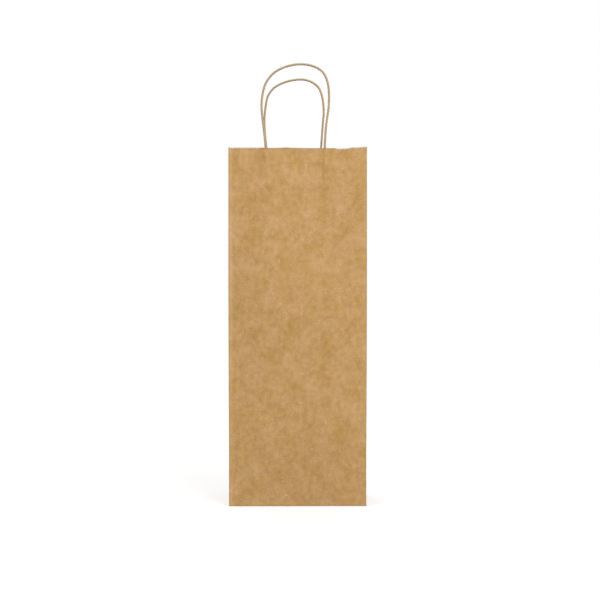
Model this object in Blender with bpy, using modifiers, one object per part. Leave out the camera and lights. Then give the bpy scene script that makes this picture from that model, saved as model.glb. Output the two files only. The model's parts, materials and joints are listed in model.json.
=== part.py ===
"""Kraft paper gift bag for one wine bottle, with two twisted-paper handles.

The bag stands open on its block bottom. The front panel faces -Y, the width runs
along X and +Z is up. The origin is at the middle of the underside. Every facet
between two creases is its own sheet, and each crease that folds has an empty on
its line, so that the bag can be laid flat as the real one is.
"""

import math

import bmesh
import bpy
from mathutils import Vector

# Driving dimensions, in metres.
WIDTH = 0.150
DEPTH = 0.080
HEIGHT = 0.388
PAPER = 0.0002
GAP = 0.0003
CORD_RADIUS = 0.00125

# The block bottom: three glued layers of paper, and the height of its fold lines.
FRONT_FLAP_Z = 0.0
BACK_FLAP_Z = FRONT_FLAP_Z + PAPER + GAP
TUCK_Z = BACK_FLAP_Z + PAPER + GAP
FOLD_Z = TUCK_Z + PAPER + GAP
FLAP_OVERLAP = 0.010
TUCK_LENGTH = 0.048
TUCK_CHAMFER = 0.008

# Inner faces of the bag, and the heights of its cross creases.
INNER_X = WIDTH / 2 - PAPER
INNER_Y = DEPTH / 2 - PAPER
CREASE_Z = FOLD_Z + INNER_Y
BAND_TOP_Z = FOLD_Z + 2 * INNER_Y
DIAGONAL_GAP = GAP * math.sqrt(0.5)

# The side folds never open quite flat: at rest each half leans in by this much.
GUSSET_TUCK = math.radians(7)

# The glued side seam, on the inside of the back panel.
SEAM_WIDTH = 0.0148
SEAM_FROM_CORNER = 0.006
SEAM_BELOW_EDGE = 0.001

# Handle patches: two strips of paper with the ends of a cord between them.
PATCH_WIDTH = 0.082
PATCH_HEIGHT = 0.046
LEG_LENGTH = 0.044
LEG_ABOVE_EDGE = 0.0001
RIDGE_RADIUS = CORD_RADIUS + GAP + PAPER / 2
RIDGE_FOOT = 0.0011
COVER_OFFSET = 2 * GAP + 1.5 * PAPER
LEG_OFFSET = 2 * GAP + PAPER + CORD_RADIUS
RIDGE_STEPS = 6
COVER_ROWS = 4

# Handle loops, as points (x, height above the top edge) that a smooth line passes
# through. Each end starts straight up, and its leg leans by LEG_LEAN below the edge.
FRONT_LOOP = (
    (-0.0348, 0.0), (-0.0352, 0.006), (-0.0365, 0.018), (-0.0382, 0.032),
    (-0.0391, 0.044), (-0.0380, 0.057), (-0.0345, 0.069), (-0.0270, 0.0790),
    (-0.0170, 0.0853), (-0.0060, 0.0886), (0.0030, 0.0895), (0.0120, 0.0887),
    (0.0205, 0.0858), (0.0275, 0.0805), (0.0321, 0.071), (0.0338, 0.059),
    (0.0336, 0.044), (0.0317, 0.030), (0.0303, 0.018), (0.0296, 0.006),
    (0.0294, 0.0),
)
BACK_LOOP = (
    (-0.0360, 0.0), (-0.0361, 0.005), (-0.0370, 0.017), (-0.0382, 0.030),
    (-0.0386, 0.042), (-0.0374, 0.056), (-0.0348, 0.069), (-0.0290, 0.0778),
    (-0.0215, 0.0830), (-0.0120, 0.0867), (-0.0015, 0.0887), (0.0060, 0.0888),
    (0.0130, 0.0872), (0.0190, 0.0841), (0.0245, 0.0787), (0.0278, 0.070),
    (0.0295, 0.060), (0.0299, 0.050), (0.0289, 0.038), (0.0277, 0.022),
    (0.0268, 0.008), (0.0265, 0.0),
)
LOOP_START = 0.0004
LOOP_STEP = 0.0042
FRONT_LEG_LEAN = (0.0033, 0.0014)
BACK_LEG_LEAN = (0.0018, 0.0012)
FRONT_PATCH_X = 0.0010
BACK_PATCH_X = -0.0020

# Rotations that stand a flat outline up: its x and y run along X and Z, or Y and Z.
FACING_FRONT = (math.radians(90), 0, 0)
FACING_SIDE = (math.radians(90), 0, math.radians(90))
LYING_FLAT = (0, 0, 0)

KRAFT_OUTSIDE = (0.545, 0.325, 0.150, 1)
KRAFT_INSIDE = (0.520, 0.315, 0.150, 1)
PATCH_KRAFT = (0.500, 0.300, 0.140, 1)
CORD_KRAFT = (0.500, 0.330, 0.180, 1)


def clear_scene():
    for thing in list(bpy.data.objects):
        bpy.data.objects.remove(thing, do_unlink=True)


def make_material(name, colour, roughness):
    material = bpy.data.materials.new(name)
    material.use_nodes = True
    shader = material.node_tree.nodes["Principled BSDF"]
    shader.inputs["Base Color"].default_value = colour
    shader.inputs["Roughness"].default_value = roughness
    shader.inputs["Metallic"].default_value = 0.0
    return material


def make_fold(name, place, parent=None):
    """An empty on a crease. What folds there is parented to it."""
    fold = bpy.data.objects.new(name, None)
    fold.empty_display_size = 0.01
    fold.location = place
    if parent is not None:
        fold.parent = parent
        fold.location = Vector(place) - parent.matrix_world.translation
    BAG.objects.link(fold)
    bpy.context.view_layer.update()
    return fold


def place_piece(piece, material, parent=None):
    """Gives a piece its material and hangs it from a fold, where it already is."""
    piece.data.materials.append(material)
    BAG.objects.link(piece)
    if parent is not None:
        piece.parent = parent
        piece.matrix_parent_inverse = parent.matrix_world.inverted()
    return piece


def make_sheet(name, outline, rotation, middle, material, parent=None):
    """A flat sheet of paper. middle is a point in the middle of its thickness."""
    curve = bpy.data.curves.new(name, "CURVE")
    curve.dimensions = "2D"
    curve.fill_mode = "BOTH"
    curve.extrude = PAPER / 2
    spline = curve.splines.new("POLY")
    spline.points.add(len(outline) - 1)
    for point, (x, y) in zip(spline.points, outline):
        point.co = (x, y, 0, 1)
    spline.use_cyclic_u = True
    piece = bpy.data.objects.new(name, curve)
    piece.rotation_euler = rotation
    piece.location = middle
    return place_piece(piece, material, parent)


def make_tube(name, points, material, parent=None):
    curve = bpy.data.curves.new(name, "CURVE")
    curve.dimensions = "3D"
    curve.bevel_depth = CORD_RADIUS
    curve.bevel_resolution = 2
    curve.use_fill_caps = True
    spline = curve.splines.new("POLY")
    spline.points.add(len(points) - 1)
    for point, place in zip(spline.points, points):
        point.co = (*place, 1)
    piece = bpy.data.objects.new(name, curve)
    return place_piece(piece, material, parent)


def rectangle(left, low, right, high):
    return [(left, low), (right, low), (right, high), (left, high)]


def smooth_line(points, step):
    """A Catmull-Rom curve through the points, read about every step along it."""
    points = [Vector(p) for p in points]
    first = 2 * points[0] - points[1]
    last = 2 * points[-1] - points[-2]
    padded = [first, *points, last]
    line = []
    for before, start, end, after in zip(padded, padded[1:], padded[2:], padded[3:]):
        pieces = max(1, round((end - start).length / step))
        for number in range(pieces):
            t = number / pieces
            bend = 2 * before - 5 * start + 4 * end - after
            twist = 3 * start - before - 3 * end + after
            line.append(start + 0.5 * t * ((end - before) + t * (bend + t * twist)))
    line.append(points[-1])
    return line


def ridge_profile(legs):
    """The cover patch's line across the bag, as (x, distance from the leg's axis)."""
    profile = []
    flat = LEG_OFFSET - COVER_OFFSET
    for leg_x in legs:
        profile.append((leg_x - RIDGE_RADIUS - RIDGE_FOOT, -flat))
        for step in range(RIDGE_STEPS + 1):
            turn = math.pi * (1 - step / RIDGE_STEPS)
            profile.append(
                (leg_x + RIDGE_RADIUS * math.cos(turn), RIDGE_RADIUS * math.sin(turn))
            )
        profile.append((leg_x + RIDGE_RADIUS + RIDGE_FOOT, -flat))
    return [(x, distance + LEG_OFFSET) for x, distance in profile]


def make_cover(name, side, patch_x, legs, leans, material, parent=None):
    """The inner patch strip: a sheet pressed over the two legs of a handle."""
    mesh = bpy.data.meshes.new(name)
    shape = bmesh.new()
    face_y = side * INNER_Y
    rows = []
    for number in range(COVER_ROWS + 1):
        down = PATCH_HEIGHT * number / COVER_ROWS
        places = [x + lean * down / LEG_LENGTH for x, lean in zip(legs, leans)]
        line = [(patch_x - PATCH_WIDTH / 2, COVER_OFFSET)]
        line += ridge_profile(places)
        line += [(patch_x + PATCH_WIDTH / 2, COVER_OFFSET)]
        rows.append(
            [shape.verts.new((x, face_y - side * y, HEIGHT - down)) for x, y in line]
        )
    for upper, lower in zip(rows, rows[1:]):
        for left in range(len(upper) - 1):
            corners = (upper[left], upper[left + 1], lower[left + 1], lower[left])
            shape.faces.new(corners)
    bmesh.ops.recalc_face_normals(shape, faces=shape.faces)
    shape.to_mesh(mesh)
    shape.free()
    piece = bpy.data.objects.new(name, mesh)
    solidify = piece.modifiers.new("paper", "SOLIDIFY")
    solidify.thickness = PAPER
    solidify.offset = 0
    return place_piece(piece, material, parent)


def make_handle(which, side, loop, leans, patch_x, panel_fold):
    """A cord handle, its two legs and the patch strips that hold them."""
    face_y = side * INNER_Y
    patch_middle = GAP + PAPER / 2
    patch = rectangle(
        patch_x - PATCH_WIDTH / 2, HEIGHT - PATCH_HEIGHT, patch_x + PATCH_WIDTH / 2, HEIGHT
    )
    make_sheet(
        f"{which}_handle_patch", patch, FACING_FRONT,
        (0, face_y - side * patch_middle, 0), PATCH_PAPER, panel_fold,
    )
    leg_y = face_y - side * LEG_OFFSET
    legs = (loop[0][0], loop[-1][0])
    for hand, leg_x, lean in zip(("left", "right"), legs, leans):
        top = (leg_x, leg_y, HEIGHT + LEG_ABOVE_EDGE)
        foot = (leg_x + lean, leg_y, HEIGHT - LEG_LENGTH)
        make_tube(f"{which}_handle_{hand}_leg", (foot, top), CORD_PAPER, panel_fold)
    make_cover(
        f"{which}_handle_cover", side, patch_x, legs, leans, PATCH_PAPER, panel_fold
    )
    swing_y = leg_y + side * CORD_RADIUS
    swing_z = HEIGHT + LOOP_START
    swing = make_fold(
        f"{which}_handle_swing", ((legs[0] + legs[1]) / 2, swing_y, swing_z), panel_fold
    )
    places = [(x, leg_y, swing_z + height) for x, height in loop]
    make_tube(
        f"{which}_handle_loop", smooth_line(places, LOOP_STEP), CORD_PAPER, swing
    )


def make_gusset(hand, side):
    """The facets of one folding side, still flat. Returns its front and centre folds."""
    wall_x = side * (WIDTH / 2 - PAPER / 2)
    edge = INNER_Y - GAP
    near = GAP / 2
    hinge_x = side * INNER_X
    fore = make_fold(f"{hand}_gusset_front_fold", (hinge_x, -INNER_Y, 0))
    fore_outline = [
        (-edge, CREASE_Z - edge + DIAGONAL_GAP),
        (-near, CREASE_Z - near + DIAGONAL_GAP),
        (-near, HEIGHT),
        (-edge, HEIGHT),
    ]
    wall = (wall_x, 0, 0)
    make_sheet(
        f"{hand}_gusset_front", fore_outline, FACING_SIDE, wall, OUTER_PAPER, fore
    )
    aft = make_fold(f"{hand}_gusset_centre_fold", (side * WIDTH / 2, 0, 0), fore)
    make_sheet(
        f"{hand}_gusset_back", rectangle(near, BAND_TOP_Z + near, edge, HEIGHT),
        FACING_SIDE, wall, OUTER_PAPER, aft,
    )
    make_sheet(
        f"{hand}_gusset_back_band",
        rectangle(near, CREASE_Z + near, edge, BAND_TOP_Z - near),
        FACING_SIDE, wall, OUTER_PAPER, aft,
    )
    return fore, aft


def make_foot_gores(hand, side, base_fold, foot_fold):
    """The two triangles at the foot of a gusset, which fold in on the bottom."""
    wall = (side * (WIDTH / 2 - PAPER / 2), 0, 0)
    hinge_x = side * INNER_X
    gore = make_fold(f"{hand}_foot_fold", (hinge_x, 0, FOLD_Z), base_fold)
    reach = INNER_Y - DIAGONAL_GAP - GAP
    gore_outline = [
        (-reach, FOLD_Z + GAP),
        (reach, FOLD_Z + GAP),
        (0, FOLD_Z + GAP + reach),
    ]
    make_sheet(
        f"{hand}_gusset_foot", gore_outline, FACING_SIDE, wall, OUTER_PAPER, gore
    )
    corner = make_fold(f"{hand}_corner_fold", (hinge_x, INNER_Y, 0), foot_fold)
    edge = INNER_Y - GAP
    top = CREASE_Z - GAP / 2
    corner_outline = [
        (edge, CREASE_Z - edge + DIAGONAL_GAP),
        (edge, top),
        (CREASE_Z - top + DIAGONAL_GAP, top),
    ]
    make_sheet(
        f"{hand}_gusset_rear_corner", corner_outline, FACING_SIDE, wall, OUTER_PAPER, corner
    )


def make_bottom(base_fold):
    """The glued block bottom: two side tucks inside, then the two long flaps."""
    edge_x = INNER_X - GAP
    edge_y = INNER_Y - GAP
    reach = edge_y + FLAP_OVERLAP
    for name, side, low_z in (
        ("bottom_front_flap", -1, FRONT_FLAP_Z),
        ("bottom_back_flap", 1, BACK_FLAP_Z),
    ):
        flap = [
            (-edge_x, side * edge_y),
            (edge_x, side * edge_y),
            (edge_x - reach, side * (edge_y - reach)),
            (reach - edge_x, side * (edge_y - reach)),
        ]
        middle = (0, 0, low_z + PAPER / 2)
        make_sheet(name, flap, LYING_FLAT, middle, OUTER_PAPER, base_fold)
    for name, side in (("bottom_left_tuck", -1), ("bottom_right_tuck", 1)):
        inner_x = edge_x - TUCK_LENGTH
        tuck = [
            (side * edge_x, -edge_y),
            (side * edge_x, edge_y),
            (side * (inner_x + TUCK_CHAMFER), edge_y),
            (side * inner_x, edge_y - TUCK_CHAMFER),
            (side * inner_x, TUCK_CHAMFER - edge_y),
            (side * (inner_x + TUCK_CHAMFER), -edge_y),
        ]
        middle = (0, 0, TUCK_Z + PAPER / 2)
        make_sheet(name, tuck, LYING_FLAT, middle, INNER_PAPER, base_fold)


def make_front():
    panel = rectangle(-WIDTH / 2, 0, WIDTH / 2, HEIGHT)
    middle = (0, PAPER / 2 - DEPTH / 2, 0)
    make_sheet("front_panel", panel, FACING_FRONT, middle, OUTER_PAPER)
    make_handle("front", -1, FRONT_LOOP, FRONT_LEG_LEAN, FRONT_PATCH_X, None)


def make_back(carrier, foot_fold):
    """The back panel in its three facets, with the side seam and the rear handle."""
    half = WIDTH / 2
    near = GAP / 2
    middle = (0, DEPTH / 2 - PAPER / 2, 0)
    seam_middle = (0, INNER_Y - GAP - PAPER / 2, 0)
    seam_left = SEAM_FROM_CORNER - INNER_X
    seam_right = seam_left + SEAM_WIDTH
    back = make_fold("back_fold", (-INNER_X, INNER_Y, 0), carrier)
    for name, low, high, left, right, place, material in (
        ("back_panel", BAND_TOP_Z + near, HEIGHT, -half, half, middle, OUTER_PAPER),
        ("back_panel_band", CREASE_Z + near, BAND_TOP_Z - near, -half, half, middle, OUTER_PAPER),
        ("side_seam_lap", BAND_TOP_Z + near, HEIGHT - SEAM_BELOW_EDGE, seam_left, seam_right,
         seam_middle, INNER_PAPER),
        ("side_seam_lap_band", CREASE_Z + near, BAND_TOP_Z - near, seam_left, seam_right,
         seam_middle, INNER_PAPER),
    ):
        make_sheet(name, rectangle(left, low, right, high), FACING_FRONT, place, material, back)
    make_handle("back", 1, BACK_LOOP, BACK_LEG_LEAN, BACK_PATCH_X, back)
    foot = rectangle(-half, 0, half, CREASE_Z - near)
    make_sheet("back_panel_foot", foot, FACING_FRONT, middle, OUTER_PAPER, foot_fold)
    return back


def tuck_gussets(left_folds, right_folds, back):
    """Leans the side folds in, with the back panel kept square to the front."""
    for side, (fore, aft) in ((-1, left_folds), (1, right_folds)):
        fore.rotation_euler.z = side * GUSSET_TUCK
        aft.rotation_euler.z = -2 * side * GUSSET_TUCK
    back.rotation_euler.z = -GUSSET_TUCK


clear_scene()
BAG = bpy.data.collections.new("wine_gift_bag")
bpy.context.scene.collection.children.link(BAG)
OUTER_PAPER = make_material("outer_kraft", KRAFT_OUTSIDE, 0.82)
INNER_PAPER = make_material("inner_kraft", KRAFT_INSIDE, 0.88)
PATCH_PAPER = make_material("patch_kraft", PATCH_KRAFT, 0.85)
CORD_PAPER = make_material("cord_kraft", CORD_KRAFT, 0.90)

make_front()
left_gusset = make_gusset("left", -1)
right_gusset = make_gusset("right", 1)
base = make_fold("base_fold", (0, -INNER_Y, FOLD_Z))
back_foot = make_fold("back_foot_fold", (0, INNER_Y, FOLD_Z), base)
make_bottom(base)
make_foot_gores("left", -1, base, back_foot)
make_foot_gores("right", 1, base, back_foot)
back_fold = make_back(left_gusset[1], back_foot)
tuck_gussets(left_gusset, right_gusset, back_fold)
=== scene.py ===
"""The looks of the kraft paper wine gift bag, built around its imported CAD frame.

Every facet of the folded blank is a thin closed shell of paper. It is drawn flat as a
grid, cut along its creases, and bent into place by one function for each wall, so that
neighbours share their crease. The handles are twisted cords of three plies. All
lengths are in metres and all places are in the frame of the CAD model.
"""

import json
import math

import bmesh
import bpy
import numpy as np
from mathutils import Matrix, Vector


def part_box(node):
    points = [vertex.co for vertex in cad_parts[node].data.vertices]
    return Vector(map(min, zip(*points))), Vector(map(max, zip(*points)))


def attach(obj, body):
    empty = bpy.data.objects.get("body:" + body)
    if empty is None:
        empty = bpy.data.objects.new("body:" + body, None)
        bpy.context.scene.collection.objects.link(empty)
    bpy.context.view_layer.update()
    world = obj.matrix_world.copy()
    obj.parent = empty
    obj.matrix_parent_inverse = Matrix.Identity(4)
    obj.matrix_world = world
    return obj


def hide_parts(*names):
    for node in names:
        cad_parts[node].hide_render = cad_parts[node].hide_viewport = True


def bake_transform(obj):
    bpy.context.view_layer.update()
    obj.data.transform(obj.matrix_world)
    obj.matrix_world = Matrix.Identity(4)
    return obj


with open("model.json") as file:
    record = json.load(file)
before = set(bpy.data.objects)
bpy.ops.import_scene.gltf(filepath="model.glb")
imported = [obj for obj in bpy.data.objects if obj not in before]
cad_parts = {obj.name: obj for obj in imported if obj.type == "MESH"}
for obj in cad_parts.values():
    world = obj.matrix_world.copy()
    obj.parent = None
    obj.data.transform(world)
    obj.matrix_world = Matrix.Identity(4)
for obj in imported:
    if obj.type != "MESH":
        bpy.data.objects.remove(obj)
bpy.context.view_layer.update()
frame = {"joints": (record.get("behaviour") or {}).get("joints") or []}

MM = 0.001

# ---------------------------------------------------------------- sizes from the frame

JOINTS = {joint["name"]: Vector(joint["pos_m"]) for joint in frame["joints"]}
PANEL_LOW, PANEL_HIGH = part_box("front_panel")
PAPER = PANEL_HIGH.y - PANEL_LOW.y
HEIGHT = PANEL_HIGH.z
HINGE_X = -JOINTS["fold_flat"].x
FRONT_Y = JOINTS["fold_flat"].y
CENTRE_X = -JOINTS["left_gusset_centre_fold"].x
CENTRE_Y = JOINTS["left_gusset_centre_fold"].y
BACK_Y = JOINTS["back_left_fold"].y
FOOT_BACK_Y = JOINTS["back_foot_fold"].y
CREASE_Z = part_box("back_panel_foot")[1].z
BAND_TOP_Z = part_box("back_panel_band")[1].z
FOOT_Z = PAPER / 2
LAP_LOW, LAP_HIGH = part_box("side_seam_lap")
FRONT_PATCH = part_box("front_handle_patch")
BACK_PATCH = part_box("back_handle_patch")
FLAP_INNER_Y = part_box("bottom_front_flap")[1].y
TUCK_INNER_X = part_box("bottom_left_tuck")[1].x

# The cord's own size, and where the pasted legs of the two handles are.
FRONT_LEG_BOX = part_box("front_handle_left_leg")
BACK_LEG_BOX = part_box("back_handle_left_leg")
LOOP_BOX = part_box("front_handle_loop")
CORD_RADIUS = (LOOP_BOX[1].y - LOOP_BOX[0].y) / 2
LEG_FOOT_Z = FRONT_LEG_BOX[0].z
FRONT_LEG_Y = (FRONT_LEG_BOX[0].y + FRONT_LEG_BOX[1].y) / 2
BACK_LEG_Y = (BACK_LEG_BOX[0].y + BACK_LEG_BOX[1].y) / 2

# The routes of the two cords above the mouth, as (x, height above the loop's start), and
# how far to the right of its upper end each leg's foot lies. They repeat the routes in
# the CAD model.
FRONT_LOOP = (
    (-0.0348, 0.0), (-0.0352, 0.006), (-0.0365, 0.018), (-0.0382, 0.032),
    (-0.0391, 0.044), (-0.0380, 0.057), (-0.0345, 0.069), (-0.0270, 0.0790),
    (-0.0170, 0.0853), (-0.0060, 0.0886), (0.0030, 0.0895), (0.0120, 0.0887),
    (0.0205, 0.0858), (0.0275, 0.0805), (0.0321, 0.071), (0.0338, 0.059),
    (0.0336, 0.044), (0.0317, 0.030), (0.0303, 0.018), (0.0296, 0.006),
    (0.0294, 0.0),
)
BACK_LOOP = (
    (-0.0360, 0.0), (-0.0361, 0.005), (-0.0370, 0.017), (-0.0382, 0.030),
    (-0.0386, 0.042), (-0.0374, 0.056), (-0.0348, 0.069), (-0.0290, 0.0778),
    (-0.0215, 0.0830), (-0.0120, 0.0867), (-0.0015, 0.0887), (0.0060, 0.0888),
    (0.0130, 0.0872), (0.0190, 0.0841), (0.0245, 0.0787), (0.0278, 0.070),
    (0.0295, 0.060), (0.0299, 0.050), (0.0289, 0.038), (0.0277, 0.022),
    (0.0268, 0.008), (0.0265, 0.0),
)
LOOP_START = 0.4 * MM
FRONT_LEG_LEAN = (3.3 * MM, 1.4 * MM)
BACK_LEG_LEAN = (1.8 * MM, 1.2 * MM)

# ---------------------------------------------------------------- the grid of the blank

FRONT_TEETH = 69
SIDE_TEETH = 37
TOOTH_DEPTH = 1.8 * MM
CREASE_HALF_WIDTH = 0.8 * MM
ROW_STEP = 3.0 * MM
FINE_ROW_STEP = 1.25 * MM
FINE_FROM_Z = HEIGHT - 50 * MM
NEAR = 1e-6


def row_heights():
    """Heights shared by all walls, with a row on each cross crease, finer at the mouth."""
    stops = (FOOT_Z, CREASE_Z, BAND_TOP_Z, FINE_FROM_Z)
    rows = []
    for low, high in zip(stops, stops[1:]):
        rows += list(np.linspace(low, high, round((high - low) / ROW_STEP) + 1)[:-1])
    for crease in (CREASE_Z, BAND_TOP_Z):
        rows += [crease - CREASE_HALF_WIDTH, crease + CREASE_HALF_WIDTH]
    tooth_foot = HEIGHT - TOOTH_DEPTH
    count = round((tooth_foot - FINE_FROM_Z) / FINE_ROW_STEP) + 1
    rows += list(np.linspace(FINE_FROM_Z, tooth_foot, count))
    return np.array(sorted(rows + [HEIGHT]))


ROWS = row_heights()
PANEL_COLUMNS = np.linspace(-HINGE_X, HINGE_X, 2 * FRONT_TEETH + 1)
SIDE_COLUMNS = np.linspace(FRONT_Y, -FRONT_Y, 2 * SIDE_TEETH + 1)


# ---------------------------------------------------------------- soft shapes

NOISE_CELLS = 64
NOISE_START = (17.3, 29.7)
# Each random pattern has a seed of its own.
SEEDS = {
    "front waves": 11, "front wrinkles": 5, "front edge": 3, "front wear": 2,
    "back waves": 31, "back wrinkles": 35, "back edge": 9, "back wear": 23,
    "left side": 51, "right side": 71, "side edges": 7, "side wear": 21,
    "front cover": 91, "back cover": 95,
}


def ease(start, end, value):
    """0 before start, 1 after end, and a smooth turn between them."""
    share = np.clip((value - start) / (end - start), 0, 1)
    return share * share * (3 - 2 * share)


def hump(value, middle, width):
    """1 at the middle, falling away on both sides."""
    return np.exp(-(((value - middle) / width) ** 2))


def plateau(value, low, high, edge):
    """1 between low and high, 0 outside, with an edge that wide."""
    start = ease(low - edge / 2, low + edge / 2, value)
    end = ease(high - edge / 2, high + edge / 2, value)
    return start - end


def noise(a, b, size, seed):
    """Smooth noise from -1 to 1 with lumps of about that size."""
    table = np.random.default_rng(seed).uniform(-1, 1, (NOISE_CELLS, NOISE_CELLS))
    x, y = a / size + NOISE_START[0], b / size + NOISE_START[1]
    left, low = np.floor(x).astype(int), np.floor(y).astype(int)
    across, up = x - left, y - low
    across = across * across * (3 - 2 * across)
    up = up * up * (3 - 2 * up)

    def corner(i, j):
        return table[(left + i) % NOISE_CELLS, (low + j) % NOISE_CELLS]

    bottom = corner(0, 0) * (1 - across) + corner(1, 0) * across
    top = corner(0, 1) * (1 - across) + corner(1, 1) * across
    return bottom * (1 - up) + top * up


def crinkle(a, b, seed):
    """Low, sharp-backed wrinkles, as paper gets from being folded and handled."""
    fine = 1 - 2 * np.abs(noise(a, b, 17 * MM, seed))
    coarse = 1 - 2 * np.abs(noise(a, b, 41 * MM, seed + 1))
    return 0.05 * MM * fine + 0.13 * MM * coarse


def away_from(distance, reach=9 * MM):
    """0 on a crease, rising to 1 away from it, which leaves the crease as a kink."""
    return 1 - np.exp(-np.maximum(distance, 0) / reach)


def from_side(x):
    """How far a point of a panel is from the nearer side crease."""
    return HINGE_X - np.abs(x)


def legs_of(loop, leans):
    """The two legs of a handle, as (x at the mouth, x at the foot)."""
    ends = (loop[0][0], loop[-1][0])
    return [(x, x + lean) for x, lean in zip(ends, leans)]


def leg_x(leg, z):
    """Where a leg runs at a height."""
    down = (HEIGHT - z) / (HEIGHT - LEG_FOOT_Z)
    return leg[0] + (leg[1] - leg[0]) * down


FRONT_LEGS = legs_of(FRONT_LOOP, FRONT_LEG_LEAN)
BACK_LEGS = legs_of(BACK_LOOP, BACK_LEG_LEAN)
RIDGE_HEIGHT = 1.05 * MM
RIDGE_WIDTH = 2.7 * MM
RIDGE_START = (-3 * MM, 5 * MM)
PATCH_STEP = 0.25 * MM
PATCH_SIDE_RAMP = 2.5 * MM
PATCH_FOOT_RAMP = 2.4 * MM


def handle_relief(x, z, legs, patch):
    """What the pasted patch and the cord's legs press out through the panel."""
    low, high = patch
    across = plateau(x, low.x, high.x, PATCH_SIDE_RAMP)
    over_patch = across * ease(low.z - PATCH_FOOT_RAMP / 2, low.z + PATCH_FOOT_RAMP / 2, z)
    relief = PATCH_STEP * over_patch
    along = ease(LEG_FOOT_Z + RIDGE_START[0], LEG_FOOT_Z + RIDGE_START[1], z)
    for leg in legs:
        relief = relief + RIDGE_HEIGHT * along * hump(x, leg_x(leg, z), RIDGE_WIDTH)
    return relief


# ---------------------------------------------------------------- the walls

# The foot: how much narrower it is and up to what height, and the lift of its corner.
NARROWING = 0.010
NARROW_BELOW = 0.26
FOOT_LIFT = 0.4 * MM
FOOT_LIFT_BELOW = 60 * MM
# The panels' crown, the bands beside the creases where it rises, and the share of it that
# is left at the mouth, reached between two heights.
CROWN = 2.8 * MM
CROWN_SIDE_RAMP = 42 * MM
CROWN_FOOT_RAMP = 80 * MM
MOUTH_SHARE = 0.4
CALMER_FROM, CALM_AT = 0.21, 0.36
# The band under the cut edge that its ups and downs fade out in, and their height.
MOUTH_BAND = 22 * MM
EDGE_WANDER = 0.4 * MM
# The roll of the panels into their side creases, and the swell between creases.
FRONT_ROLL = 0.20 * MM
BACK_ROLL = 0.30 * MM
ROLL_WIDTH = 2.6 * MM
ROLL_FOOT_RAMP = 25 * MM
PILLOW = 0.45 * MM
# The heights where the back and the sides have come to the planes of their upper parts.
BACK_SETTLED_Z = 0.13
SIDE_SETTLED_Z = 0.135
# The sides sag in most at SAG_Z and bow in between their creases.
SIDE_SAG = 4.2 * MM
SAG_Z, SAG_REACH = 0.225, 0.085
SIDE_BOW = -0.9 * MM
LAP_STEP = 0.20 * MM


def narrow(x, z):
    """The glued bottom holds the foot of the bag a little narrower than the mouth."""
    return x * (1 - NARROWING * (1 - ease(0.0, NARROW_BELOW, z)))


def foot_lift(x, y, z):
    """The front right corner of the bottom doesn't quite touch what the bag stands on."""
    to_corner = ease(-HINGE_X, HINGE_X, x) * ease(0, -FRONT_Y, -y)
    return FOOT_LIFT * to_corner * (1 - ease(0, FOOT_LIFT_BELOW, z))


def near_mouth(z):
    """0 below the last stretch of a wall, rising to 1 at its cut edge."""
    return ease(HEIGHT - MOUTH_BAND, HEIGHT, z)


def edge_wander(a, seed):
    """How a cut edge wanders up and down along its length."""
    return EDGE_WANDER * noise(a, 0 * a, 25 * MM, seed)


def side_roll(x, z, height):
    """A panel rolls over into its side creases, except near the stiff bottom."""
    return height * away_from(from_side(x), ROLL_WIDTH) * ease(0, ROLL_FOOT_RAMP, z)


def panel_waves(x, z, seed):
    """The crown and soft waves of a tall panel, none at its creases and less at its mouth."""
    to_mouth = 1 - (1 - MOUTH_SHARE) * ease(CALMER_FROM, CALM_AT, z)
    calm = ease(0, CROWN_SIDE_RAMP, from_side(x)) * ease(0, CROWN_FOOT_RAMP, z) * to_mouth
    waves = 1.3 * MM * noise(x, z, 88 * MM, seed) + 0.6 * MM * noise(x, z, 43 * MM, seed + 1)
    return calm * (CROWN + waves)


def front_dents(x, z):
    """Rises and hollows of the front panel: side by side in its upper half, and one above
    another all the way up."""
    upper = ease(0.17, 0.27, z) * (1 - 0.5 * ease(0.35, HEIGHT, z))
    across = 1.1 * MM * upper * (hump(x, -24 * MM, 21 * MM) - 1.4 * hump(x, 36 * MM, 23 * MM))
    up = 0.6 * MM * (hump(z, 0.082, 0.030) - hump(z, 0.150, 0.032) + hump(z, 0.235, 0.034))
    return ease(0, 30 * MM, from_side(x)) * (across + up)


def front_bulge(x, z):
    """The large shape of the front panel, which the cord's legs follow too."""
    waves = panel_waves(x, z, SEEDS["front waves"])
    return side_roll(x, z, FRONT_ROLL) + waves + front_dents(x, z)


def front_relief(x, z):
    """How far each point of the front panel stands out of its plane."""
    wrinkles = away_from(from_side(x)) * away_from(z) * crinkle(x, z, SEEDS["front wrinkles"])
    from_mouth = HEIGHT - z
    ridge = 0.10 * MM * hump(from_mouth, 16 * MM, 1.4 * MM) * plateau(x, -17 * MM, 17 * MM, 12 * MM)
    furrow = -0.10 * MM * hump(from_mouth, 28 * MM, 1.3 * MM) * plateau(x, 34 * MM, 60 * MM, 12 * MM)
    return (
        front_bulge(x, z) + wrinkles + ridge + furrow
        + handle_relief(x, z, FRONT_LEGS, FRONT_PATCH)
    )


def front_edge(x):
    """The mouth of the front panel isn't quite straight."""
    return (
        -0.4 * MM * plateau(x, -37 * MM, -17 * MM, 8 * MM)
        - 0.5 * MM * plateau(x, -9 * MM, 38 * MM, 8 * MM)
        - 1.2 * MM * plateau(x, 41 * MM, 56 * MM, 9 * MM)
        + 0.8 * MM * ease(62 * MM, 72 * MM, x)
        + 0.3 * MM * noise(x, 0 * x, 21 * MM, SEEDS["front edge"])
    )


def front_place(x, z):
    """A point of the front panel."""
    lift = front_edge(x) * near_mouth(z) + foot_lift(x, FRONT_Y, z)
    return np.stack([narrow(x, z), FRONT_Y - front_relief(x, z), z + lift], axis=-1)


def back_plane(z):
    """The upper part of the back stands a hair nearer, because the sides lean in."""
    return FOOT_BACK_Y + (BACK_Y - FOOT_BACK_Y) * ease(CREASE_Z, BACK_SETTLED_Z, z)


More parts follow.
